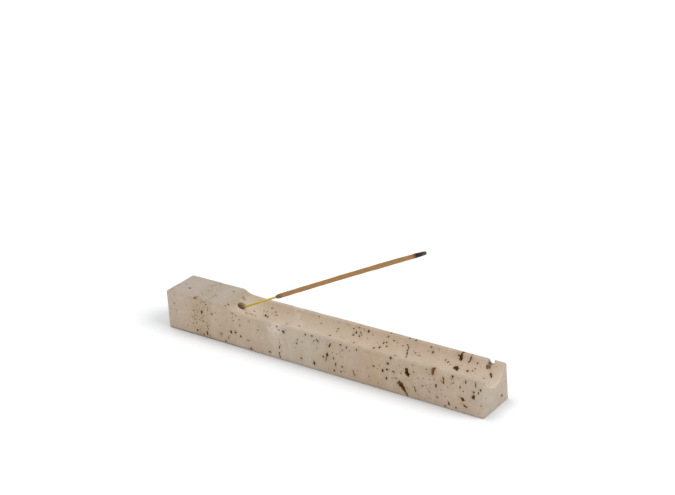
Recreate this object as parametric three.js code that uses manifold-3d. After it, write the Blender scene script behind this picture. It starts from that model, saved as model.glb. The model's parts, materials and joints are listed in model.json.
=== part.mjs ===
// Incense burner: one honed travertine bar with a solid head, an ash groove that runs out of its
// far end, a drilled socket at the foot of the head, and an incense stick leaning out of it.
// Millimetres, +Z up, X along the bar. The origin is the middle of the bar's base.

import * as THREE from 'three';
import { mergeVertices } from 'three/addons/utils/BufferGeometryUtils.js';
import Module from 'manifold-3d';

// Driving dimensions of the stone bar
const BAR_LENGTH = 250;
const BAR_WIDTH = 28;
const HEAD_HEIGHT = 28;
const RIM_HEIGHT = 24.5;
const EDGE_SOFTENING = 0.8;
const CORNER_RADIUS = 1.3;

// The head steps down to the rims: a short bevel, then a hollow sweep
const HEAD_LENGTH = 48;
const BEVEL_RUN = 3.4;
const BEVEL_DROP = 2.1;
const SWEEP_RUN = 16.6;
const SWEEP_PULL = 0.43;

// The ash groove: a round trough, with a ramp that rises to the bevel's foot on a large arc
const RIM_WIDTH = 3;
const GROOVE_DEPTH = 8.5;
const RAMP_RADIUS = 40;
const RAMP_RUN = 26.3;
const GROOVE_OVERRUN = 5;
const RAMP_STEPS = 14;
const GROOVE_SIDES = 32;

// The stick's socket, drilled down towards the head
const SOCKET_DIAMETER = 5;
const SOCKET_DEPTH = 12;
const SOCKET_TILT = 45;
const SOCKET_MOUTH = new THREE.Vector3(-69.35, 0, 22.6);
const SOCKET_SIDES = 24;
const DRILL_POINT = 1.4;

// A natural void in the stone that has broken out through the back rim
const NOTCH_CENTRE = new THREE.Vector3(114.5, 12.5, 24.6);
const NOTCH_SIZE = new THREE.Vector3(2.1, 5.2, 5.0);
const NOTCH_TURN = 0.4;
const NOTCH_LEAN = 0.12;

// The incense stick: a bamboo core, a rolled paste coat and the burnt end of the coat
const STICK_TILT = 26.2;
const STICK_INSERTION = 11;
const STICK_MOUTH = new THREE.Vector3(-66.9, 0, 22.4);
const STICK_SAG_RADIUS = 7000;
const CORE_RADIUS = 0.65;
const CORE_SIDES = 8;
const BARE_LENGTH = 42.5;
const COAT_LENGTH = 124;
const COAT_RADIUS = 1.5;
const COAT_START_RADIUS = 1.05;
const COAT_TAPER = 3;
const COAT_BORE_GAP = 0.1;
const COAT_SIDES = 12;
const TIP_LENGTH = 7.5;
const TIP_RADIUS = 1.4;
const TIP_END_RADIUS = 0.9;
const TIP_TAPER = 1;
const TIP_SOCKET_DEPTH = 4;
const FACE_GAP = 0.3;
const SAG_STEP = 9;

const bevelStartX = -BAR_LENGTH / 2 + HEAD_LENGTH;
const bevelEndX = bevelStartX + BEVEL_RUN;
const bevelEndZ = HEAD_HEIGHT - BEVEL_DROP;
const sweepEndX = bevelEndX + SWEEP_RUN;
const sweep = new THREE.QuadraticBezierCurve(
	new THREE.Vector2(bevelEndX, bevelEndZ),
	new THREE.Vector2(bevelEndX + SWEEP_PULL * SWEEP_RUN, RIM_HEIGHT),
	new THREE.Vector2(sweepEndX, RIM_HEIGHT),
);
const rampFootX = bevelEndX + RAMP_RUN;

// The trough's round section: half its width at the rims, and the arc that joins them
const grooveHalf = BAR_WIDTH / 2 - RIM_WIDTH;
const grooveRadius = (grooveHalf ** 2 + GROOVE_DEPTH ** 2) / (2 * GROOVE_DEPTH);

// --- solids: three.js geometry in and out of manifold-3d, which only joins and cuts

const wasm = await Module();
wasm.setup();

function toSolid(geometry) {
	const bare = geometry.clone();
	bare.deleteAttribute('normal');
	bare.deleteAttribute('uv');
	const merged = mergeVertices(bare, 1e-4);
	return new wasm.Manifold(new wasm.Mesh({
		numProp: 3,
		vertProperties: new Float32Array(merged.attributes.position.array),
		triVerts: new Uint32Array(merged.index.array),
	}));
}

function toGeometry(solid) {
	const mesh = solid.getMesh();
	const geometry = new THREE.BufferGeometry();
	geometry.setAttribute('position', new THREE.BufferAttribute(mesh.vertProperties, 3));
	geometry.setIndex(new THREE.BufferAttribute(mesh.triVerts, 1));
	return geometry;
}

function moveVertices(geometry, move) {
	const position = geometry.attributes.position;
	const point = new THREE.Vector3();
	for (let i = 0; i < position.count; i++) {
		point.fromBufferAttribute(position, i);
		move(point);
		position.setXYZ(i, point.x, point.y, point.z);
	}
	return geometry;
}

// --- the stone

// Height of the rims' top above the base at a place along the bar
function rimTop(x) {
	if (x <= bevelStartX) return HEAD_HEIGHT;
	if (x <= bevelEndX) return HEAD_HEIGHT - BEVEL_DROP * (x - bevelStartX) / BEVEL_RUN;
	if (x >= sweepEndX) return RIM_HEIGHT;
	// solve the sweep's x(t) = x for t, and return its height there
	const a = 1 - 2 * SWEEP_PULL;
	const b = 2 * SWEEP_PULL;
	const c = -(x - bevelEndX) / SWEEP_RUN;
	const t = (-b + Math.sqrt(b * b - 4 * a * c)) / (2 * a);
	return sweep.getPoint(t).y;
}

// Height of the groove's lowest line above the base
function grooveFloor(x) {
	const bottom = RIM_HEIGHT - GROOVE_DEPTH;
	if (x >= rampFootX) return bottom;
	const run = rampFootX - x;
	return bottom + RAMP_RADIUS - Math.sqrt(RAMP_RADIUS ** 2 - run ** 2);
}

// Share of the groove's depth that is cut at a distance across from its middle
function grooveShare(y) {
	const arc = Math.sqrt(grooveRadius ** 2 - Math.min(Math.abs(y), grooveHalf) ** 2);
	return (arc - grooveRadius + GROOVE_DEPTH) / GROOVE_DEPTH;
}

function barBlank() {
	const left = -BAR_LENGTH / 2;
	const right = BAR_LENGTH / 2;
	const r = CORNER_RADIUS;
	const side = new THREE.Shape();
	side.moveTo(left + r, 0);
	side.lineTo(right - r, 0);
	side.absarc(right - r, r, r, -Math.PI / 2, 0, false);
	side.lineTo(right, RIM_HEIGHT - r);
	side.absarc(right - r, RIM_HEIGHT - r, r, 0, Math.PI / 2, false);
	side.lineTo(sweepEndX, RIM_HEIGHT);
	side.quadraticCurveTo(sweep.v1.x, sweep.v1.y, sweep.v0.x, sweep.v0.y);
	side.lineTo(bevelStartX, HEAD_HEIGHT);
	side.lineTo(left + r, HEAD_HEIGHT);
	side.absarc(left + r, HEAD_HEIGHT - r, r, Math.PI / 2, Math.PI, false);
	side.lineTo(left, r);
	side.absarc(left + r, r, r, Math.PI, Math.PI * 3 / 2, false);
	const blank = new THREE.ExtrudeGeometry(side, {
		depth: BAR_WIDTH - 2 * EDGE_SOFTENING,
		curveSegments: 4,
		bevelEnabled: true,
		bevelThickness: EDGE_SOFTENING,
		bevelSize: EDGE_SOFTENING,
		bevelOffset: -EDGE_SOFTENING,
		bevelSegments: 2,
	});
	blank.rotateX(Math.PI / 2);
	blank.translate(0, BAR_WIDTH / 2 - EDGE_SOFTENING, 0);
	return blank;
}

// A length of the groove's cutter: round above the rims, and below them as deep as the groove is
function grooveCutter(fromX, toX, steps) {
	const length = toX - fromX;
	const cutter = new THREE.CylinderGeometry(grooveHalf, grooveHalf, length, GROOVE_SIDES, steps);
	cutter.rotateZ(-Math.PI / 2);
	cutter.translate(fromX + length / 2, 0, 0);
	return moveVertices(cutter, (point) => {
		const depth = rimTop(point.x) - grooveFloor(point.x);
		if (point.z < 0) point.z = -depth * grooveShare(point.y);
		point.z += rimTop(point.x);
	});
}

function socketCutter() {
	const r = SOCKET_DIAMETER / 2;
	const profile = [
		new THREE.Vector2(0, -SOCKET_DEPTH - DRILL_POINT),
		new THREE.Vector2(r, -SOCKET_DEPTH),
		new THREE.Vector2(r, SOCKET_DEPTH),
		new THREE.Vector2(0, SOCKET_DEPTH),
	];
	const cutter = new THREE.LatheGeometry(profile, SOCKET_SIDES);
	cutter.rotateX(Math.PI / 2);
	cutter.rotateY(THREE.MathUtils.degToRad(90 - SOCKET_TILT));
	cutter.translate(SOCKET_MOUTH.x, SOCKET_MOUTH.y, SOCKET_MOUTH.z);
	return cutter;
}

function notchCutter() {
	const cutter = new THREE.IcosahedronGeometry(1, 1);
	cutter.scale(NOTCH_SIZE.x, NOTCH_SIZE.y, NOTCH_SIZE.z);
	cutter.rotateZ(NOTCH_TURN);
	cutter.rotateY(NOTCH_LEAN);
	cutter.translate(NOTCH_CENTRE.x, NOTCH_CENTRE.y, NOTCH_CENTRE.z);
	return cutter;
}

function stoneGeometry() {
	const groove = toSolid(grooveCutter(bevelEndX, rampFootX, RAMP_STEPS))
		.add(toSolid(grooveCutter(rampFootX, BAR_LENGTH / 2 + GROOVE_OVERRUN, 1)));
	return toGeometry(toSolid(barBlank())
		.subtract(groove)
		.subtract(toSolid(socketCutter()))
		.subtract(toSolid(notchCutter())));
}

// --- the stick: each piece is turned about +Z from its lower end, bent by its own weight,
// and laid along the stick's line

const stickTilt = THREE.MathUtils.degToRad(STICK_TILT);
const stickAxis = new THREE.Vector3(Math.cos(stickTilt), 0, Math.sin(stickTilt));
const stickFoot = STICK_MOUTH.clone().addScaledVector(stickAxis, -STICK_INSERTION);

function splitLongRuns(profile) {
	const points = [];
	profile.forEach((point, i) => {
		const next = profile[(i + 1) % profile.length];
		const steps = i < profile.length - 1 ? Math.ceil(point.distanceTo(next) / SAG_STEP) : 1;
		for (let k = 0; k < steps; k++) points.push(point.clone().lerp(next, k / steps));
	});
	return points;
}

function stickPiece(profile, sides) {
	const piece = new THREE.LatheGeometry(splitLongRuns(profile), sides);
	piece.rotateX(Math.PI / 2);
	moveVertices(piece, (point) => {
		point.x += point.z * point.z / (2 * STICK_SAG_RADIUS);
	});
	piece.rotateY(Math.PI / 2 - stickTilt);
	piece.translate(stickFoot.x, stickFoot.y, stickFoot.z);
	return toGeometry(toSolid(piece));
}

function coreGeometry() {
	const end = BARE_LENGTH + COAT_LENGTH + TIP_SOCKET_DEPTH - FACE_GAP;
	return stickPiece([
		new THREE.Vector2(0, 0),
		new THREE.Vector2(CORE_RADIUS, 0),
		new THREE.Vector2(CORE_RADIUS, end),
		new THREE.Vector2(0, end),
	], CORE_SIDES);
}

function coatGeometry() {
	const start = BARE_LENGTH;
	const end = BARE_LENGTH + COAT_LENGTH - FACE_GAP;
	const bore = CORE_RADIUS + COAT_BORE_GAP;
	return stickPiece([
		new THREE.Vector2(bore, start),
		new THREE.Vector2(COAT_START_RADIUS, start),
		new THREE.Vector2(COAT_RADIUS, start + COAT_TAPER),
		new THREE.Vector2(COAT_RADIUS, end),
		new THREE.Vector2(bore, end),
		new THREE.Vector2(bore, start),
	], COAT_SIDES);
}

function tipGeometry() {
	const start = BARE_LENGTH + COAT_LENGTH;
	const bore = CORE_RADIUS + COAT_BORE_GAP;
	return stickPiece([
		new THREE.Vector2(0, start + TIP_SOCKET_DEPTH),
		new THREE.Vector2(bore, start + TIP_SOCKET_DEPTH),
		new THREE.Vector2(bore, start),
		new THREE.Vector2(TIP_RADIUS, start),
		new THREE.Vector2(TIP_RADIUS, start + TIP_LENGTH - TIP_TAPER),
		new THREE.Vector2(TIP_END_RADIUS, start + TIP_LENGTH),
		new THREE.Vector2(0, start + TIP_LENGTH),
	], COAT_SIDES);
}

// --- the assembly

function namedMesh(name, geometry, color, roughness) {
	geometry.computeVertexNormals();
	const mesh = new THREE.Mesh(geometry, new THREE.MeshStandardMaterial({ color, roughness, metalness: 0 }));
	mesh.name = name;
	return mesh;
}

const burner = new THREE.Group();
burner.add(namedMesh('stone_body', stoneGeometry(), 0xb8a691, 0.7));

const stick = new THREE.Group();
stick.add(namedMesh('bamboo_core', coreGeometry(), 0xc9b23c, 0.6));
stick.add(namedMesh('incense_coat', coatGeometry(), 0x9a7140, 0.95));
stick.add(namedMesh('charred_tip', tipGeometry(), 0x241c17, 0.95));
burner.add(stick);

export default burner;
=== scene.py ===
"""Looks for the incense burner: a honed travertine bar full of natural voids, and the incense stick
that leans out of its socket. Shapes are worked out in millimetres in the row frame, and scaled to
metres when their meshes are made."""

import json
import math
import random

import bmesh
import bpy
import numpy as np
from mathutils import Matrix, Vector, noise


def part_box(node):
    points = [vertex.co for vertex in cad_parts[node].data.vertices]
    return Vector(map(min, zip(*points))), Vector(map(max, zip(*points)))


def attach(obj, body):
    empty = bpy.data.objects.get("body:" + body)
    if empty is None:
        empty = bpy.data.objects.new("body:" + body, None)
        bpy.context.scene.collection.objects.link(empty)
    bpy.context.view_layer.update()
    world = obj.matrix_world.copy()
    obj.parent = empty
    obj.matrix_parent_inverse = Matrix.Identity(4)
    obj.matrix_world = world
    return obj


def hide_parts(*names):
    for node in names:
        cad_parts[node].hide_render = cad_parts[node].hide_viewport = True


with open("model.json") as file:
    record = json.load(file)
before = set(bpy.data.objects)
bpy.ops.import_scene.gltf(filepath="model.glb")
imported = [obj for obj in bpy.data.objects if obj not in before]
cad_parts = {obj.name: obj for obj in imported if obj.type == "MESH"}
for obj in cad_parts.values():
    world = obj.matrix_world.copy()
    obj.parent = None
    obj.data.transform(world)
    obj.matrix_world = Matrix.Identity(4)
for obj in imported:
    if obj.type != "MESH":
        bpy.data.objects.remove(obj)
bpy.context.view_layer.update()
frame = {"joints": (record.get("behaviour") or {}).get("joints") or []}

MM = 0.001

# More than any void's size and any depth in the bar, in millimetres
FAR = 99

# The bar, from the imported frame
stone_low, stone_high = (np.array(corner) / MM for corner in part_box("stone_body"))
LEFT, RIGHT = stone_low[0], stone_high[0]
FRONT, BACK = stone_low[1], stone_high[1]
HEAD_TOP = stone_high[2]

# The rest of its section and profile, as the CAD part has them
RIM_TOP = 24.5
BEVEL_START = LEFT + 48
BEVEL_RUN = 3.4
BEVEL_DROP = 2.1
SWEEP_RUN = 16.6
SWEEP_PULL = 0.43
RIM_WIDTH = 3
GROOVE_DEPTH = 8.5
RAMP_RADIUS = 40
RAMP_RUN = 26.3
BEVEL_END = BEVEL_START + BEVEL_RUN
SWEEP_END = BEVEL_END + SWEEP_RUN
RAMP_FOOT = BEVEL_END + RAMP_RUN
GROOVE_HALF = BACK - RIM_WIDTH
GROOVE_RADIUS = (GROOVE_HALF**2 + GROOVE_DEPTH**2) / (2 * GROOVE_DEPTH)
RIM_ANGLE = math.asin(GROOVE_HALF / GROOVE_RADIUS)

# Softness that hand honing leaves on the edges
EDGE_INSET = 2.2
EDGE_ROUNDING = np.array([1.2, 1.0, 1.0])
HEAD_ROUNDER = 1.0
BASE_SHARPER = 0.4
EDGE_WEAR = 0.3
INNER_SOFTNESS = 0.5
MOUTH_SOFTNESS = 0.6
FACE_WAVE = 0.03
OUTLINE_BLUR = (-1.6, -0.8, 0, 0.8, 1.6)
END_LEAN = 1.6
END_LEAN_PIVOT = 0.42
END_LEAN_REACH = 25
GRID_STEP = 2.4
SHARP_ANGLE = math.radians(38)

# The socket
SOCKET_RADIUS = 2.5
SOCKET_DEPTH = 12
SOCKET_POINT = 1.4
SOCKET_ROUGHNESS = 0.012
SOCKET_TILT = math.radians(45)
SOCKET_MOUTH = np.array([-69.5, 0, 22.7])
SOCKET_FLARE = 0.35
FLARE_DEPTH = 1.0
# Painted shade inside the drilled socket, given as its void's darkness
SOCKET_SHADE = 0.15

# The stick
STICK_MOUTH = np.array([-66.9, 0, 22.4])
STICK_INSERTION = 11
STICK_SAG_RADIUS = 7000
BARE_LENGTH = 43.1
COAT_LENGTH = 124.5
TIP_LENGTH = 7
TIP_START = BARE_LENGTH + COAT_LENGTH
CORE_RADIUS = 0.65
CORE_TUCK = 3
COAT_RADIUS = 1.5
TIP_RADIUS = 1.4


# --- the camera

CAMERA_AZIMUTH = math.radians(38.61)
CAMERA_ELEVATION = math.radians(24.31)
CAMERA_ROLL = math.radians(-4.98)
CAMERA_DISTANCE = 0.933
CAMERA_AIM = Vector((0.01533, 0.0001, 0.08252))
CAMERA_LENS = 81.31


def add_camera():
    data = bpy.data.cameras.new("camera")
    data.lens = CAMERA_LENS
    data.sensor_width = 36
    data.clip_end = 50
    camera = bpy.data.objects.new("camera", data)
    bpy.context.scene.collection.objects.link(camera)
    back = Vector((
        math.sin(CAMERA_AZIMUTH) * math.cos(CAMERA_ELEVATION),
        -math.cos(CAMERA_AZIMUTH) * math.cos(CAMERA_ELEVATION),
        math.sin(CAMERA_ELEVATION),
    ))
    turn = back.to_track_quat("Z", "Y").to_matrix() @ Matrix.Rotation(CAMERA_ROLL, 3, "Z")
    camera.matrix_world = Matrix.Translation(CAMERA_AIM + back * CAMERA_DISTANCE) @ turn.to_4x4()
    bpy.context.scene.camera = camera


# --- making meshes

def shade_smooth(mesh):
    mesh.polygons.foreach_set("use_smooth", [True] * len(mesh.polygons))


def make_object(name, points, faces):
    mesh = bpy.data.meshes.new(name)
    mesh.from_pydata((np.asarray(points) * MM).tolist(), [], faces)
    mesh.validate()
    mesh.update()
    shade_smooth(mesh)
    piece = bpy.data.objects.new(name, mesh)
    bpy.context.scene.collection.objects.link(piece)
    return piece


def tube_faces(rings, sides):
    """Outward quads of a tube whose points run ring by ring, and the triangles that close its
    two ends on two last points."""
    quads = []
    caps = []
    first_end = rings * sides
    last_ring = first_end - sides
    for k in range(sides):
        n = (k + 1) % sides
        quads += [(i + k, i + n, i + sides + n, i + sides + k) for i in range(0, last_ring, sides)]
        caps += [(first_end, n, k), (first_end + 1, last_ring + k, last_ring + n)]
    return quads, caps


def mesh_points(mesh):
    """The mesh's vertices in millimetres, one row each."""
    points = np.empty(len(mesh.vertices) * 3)
    mesh.vertices.foreach_get("co", points)
    return points.reshape(-1, 3) / MM


def point_attribute(mesh, name, values):
    layer = mesh.attributes.new(name, "FLOAT", "POINT")
    layer.data.foreach_set("value", np.asarray(values, np.float32))


def noise_at(points, scale, seed=0.0):
    """Smooth noise from -1 to 1 at each point, with features about 1 / scale across."""
    shift = Vector((seed * 7.31, seed * 3.17, seed * 5.93))
    return np.array([noise.noise(Vector(p) * scale + shift) for p in points])


# --- the bar's shape

def sharp_outline(x):
    """Height of the bar's upper outline at a place along it, as the CAD part has it."""
    bevel = HEAD_TOP - BEVEL_DROP * (x - BEVEL_START) / BEVEL_RUN
    a = 1 - 2 * SWEEP_PULL
    b = 2 * SWEEP_PULL
    share = np.clip((x - BEVEL_END) / SWEEP_RUN, 0, 1)
    t = (-b + np.sqrt(b * b + 4 * a * share)) / (2 * a)
    sweep = RIM_TOP + (1 - t) ** 2 * (HEAD_TOP - BEVEL_DROP - RIM_TOP)
    return np.where(x <= BEVEL_START, HEAD_TOP, np.where(x <= BEVEL_END, bevel, sweep))


def rim_top(x):
    """The same outline with its corners softened."""
    return sum(sharp_outline(x + shift) for shift in OUTLINE_BLUR) / len(OUTLINE_BLUR)


def end_lean(x, z):
    """How far the sawn left end leans from upright."""
    near = np.clip(1 - (x - LEFT) / END_LEAN_REACH, 0, 1) ** 2
    return END_LEAN * (z / HEAD_TOP - END_LEAN_PIVOT) * near


def groove_floor(x):
    """Height of the groove's lowest line."""
    run = np.clip(RAMP_FOOT - x, 0, RAMP_RUN)
    return RIM_TOP - GROOVE_DEPTH + RAMP_RADIUS - np.sqrt(RAMP_RADIUS**2 - run**2)


def groove_drop(x, y):
    """How far the groove's surface lies below the rims, with its edges softened."""
    depth = np.where(x < BEVEL_END, 0, np.maximum(rim_top(x) - groove_floor(x), 0))
    into_mouth = np.clip((x - RIGHT + MOUTH_SOFTNESS) / MOUTH_SOFTNESS, 0, 1)
    flare = MOUTH_SOFTNESS * (1 - np.sqrt(1 - into_mouth**2))
    across = np.minimum(np.maximum(np.abs(y) - flare, 0), GROOVE_RADIUS)
    arc = np.sqrt(GROOVE_RADIUS**2 - across**2) - GROOVE_RADIUS + GROOVE_DEPTH
    arc = (arc + np.sqrt(arc**2 + INNER_SOFTNESS**2)) / 2
    return depth * arc / GROOVE_DEPTH


def edge_places(low, high):
    """Grid lines that a rounded edge needs near both ends of a side."""
    inset = [EDGE_INSET * share for share in (0, 0.15, 0.4, 0.68, 1)]
    return [low + i for i in inset] + [high - i for i in inset]


def grid_lines(low, high, spacing, extra=()):
    """Sorted grid lines from low to high, close together at the rounded edges."""
    count = round((high - low - 2 * EDGE_INSET) / spacing)
    even = np.linspace(low + EDGE_INSET, high - EDGE_INSET, count + 1)
    fixed = edge_places(low, high) + list(extra)
    kept = [e for e in even if min(abs(e - f) for f in fixed) > spacing * 0.3]
    return np.array(sorted(kept + fixed))


def bar_grid():
    """Grid lines of the bar's surface along X, Y and Z."""
    corners = [BEVEL_START + shift for shift in OUTLINE_BLUR]
    corners += [BEVEL_END + shift for shift in OUTLINE_BLUR[1:-1]]
    x_lines = grid_lines(LEFT, RIGHT, GRID_STEP, corners + [SWEEP_END])
    arc = [GROOVE_RADIUS * math.sin(math.radians(a)) for a in range(0, 73, 6)]
    shoulder = [11.0, 11.12, 11.22, 11.34, 11.55]
    half = arc + shoulder + [v for v in edge_places(-BACK, BACK) if v > 0]
    y_lines = np.array(sorted({round(s * v, 4) for v in half for s in (-1, 1)}))
    z_lines = grid_lines(0, RIM_TOP, GRID_STEP)
    return x_lines, y_lines, z_lines


def block_surface(x_lines, y_lines, z_lines):
    """Points and outward quads over the six sides of a block with those grid lines."""
    index = {}
    points = []
    faces = []

    def at(i, j, k):
        if (i, j, k) not in index:
            index[i, j, k] = len(points)
            points.append((x_lines[i], y_lines[j], z_lines[k]))
        return index[i, j, k]

    def sheet(n, m, low_corner, high_corner):
        """One pair of opposite sides. A corner function gives the vertex at a grid place."""
        for a in range(n):
            for b in range(m):
                loop = [(a, b), (a, b + 1), (a + 1, b + 1), (a + 1, b)]
                faces.append([low_corner(*c) for c in loop])
                faces.append([high_corner(*c) for c in reversed(loop)])

    nx, ny, nz = len(x_lines) - 1, len(y_lines) - 1, len(z_lines) - 1
    sheet(nx, ny, lambda i, j: at(i, j, 0), lambda i, j: at(i, j, nz))
    sheet(nz, nx, lambda k, i: at(i, 0, k), lambda k, i: at(i, ny, k))
    sheet(ny, nz, lambda j, k: at(0, j, k), lambda j, k: at(nx, j, k))
    return np.array(points), faces


def bar_mesh():
    """The bar before anything is cut into it: rounded, worn edges, the step and the groove."""
    points, faces = block_surface(*bar_grid())
    low = np.array([LEFT, FRONT, 0])
    high = np.array([RIGHT, BACK, RIM_TOP])
    wear = noise_at(points, 1 / 9, 1) + 0.6 * noise_at(points, 1 / 2.5, 2)
    on_head = np.clip((SWEEP_END - points[:, 0]) / SWEEP_RUN, 0, 1)
    rounder = (1 + HEAD_ROUNDER * on_head) * (1 + EDGE_WEAR * np.clip(wear, -1, 1))
    radius = EDGE_ROUNDING * rounder[:, None]
    radius[:, 2] *= np.where(points[:, 2] < RIM_TOP / 2, BASE_SHARPER, 1)
    inner = np.clip(points, low + radius, high - radius)
    out = (points - inner) / radius
    length = np.linalg.norm(out, axis=1, keepdims=True)
    points = inner + out / np.maximum(length, 1) * radius
    x, y, z = points.T
    top = rim_top(x) - groove_drop(x, y)
    points[:, 2] = z * top / RIM_TOP
    wave = FACE_WAVE * noise_at(points, 1 / 14, 3)
    middle = np.array([0, 0, RIM_TOP / 2])
    points += wave[:, None] * np.sign(points - middle) * (np.abs(out) > 0)
    points[:, 2] = np.maximum(points[:, 2], 0)
    points[:, 0] += end_lean(points[:, 0], points[:, 2])
    return make_object("travertine_bar", points, faces)


# --- places on the bar's faces: a point, the directions along and up the face, and its outward normal

ALONG, ACROSS, UP = (1, 0, 0), (0, 1, 0), (0, 0, 1)


def front_face(x, z):
    return (x, FRONT, z), ALONG, UP, (0, -1, 0)


def back_face(x, z):
    return (x, BACK, z), ALONG, UP, ACROSS


def under_face(x, y):
    return (x, y, 0), ALONG, ACROSS, (0, 0, -1)


def top_face(x, y):
    return (x, y, float(rim_top(x))), ALONG, ACROSS, UP


def hollow_face(x, y):
    return (x, y, float(rim_top(x) - groove_drop(x, y))), ALONG, ACROSS, UP


def left_end(y, z):
    return (LEFT + end_lean(LEFT, z), y, z), ACROSS, UP, (-1, 0, 0)


def right_end(y, z):
    return (RIGHT, y, z), ACROSS, UP, ALONG


def groove_face(x, angle):
    """A place on the groove. The angle is 0 at the lowest line and RIM_ANGLE at the back rim."""
    centre = float(groove_floor(x)) + GROOVE_RADIUS
    s, c = math.sin(angle), math.cos(angle)
    return (x, GROOVE_RADIUS * s, centre - GROOVE_RADIUS * c), ALONG, (0, c, s), (0, -s, c)


def back_wall(x, down):
    """A place on the groove's back wall, that far along it below the rim's softened inner edge."""
    return groove_face(x, RIM_ANGLE - (down + INNER_SOFTNESS) / GROOVE_RADIUS)


# --- the voids. Each row: place, place, width, height, darkness 0 to 1, lean of its top towards +X
# in degrees, and rust 0 to 1 (the last two may be left out)

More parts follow.
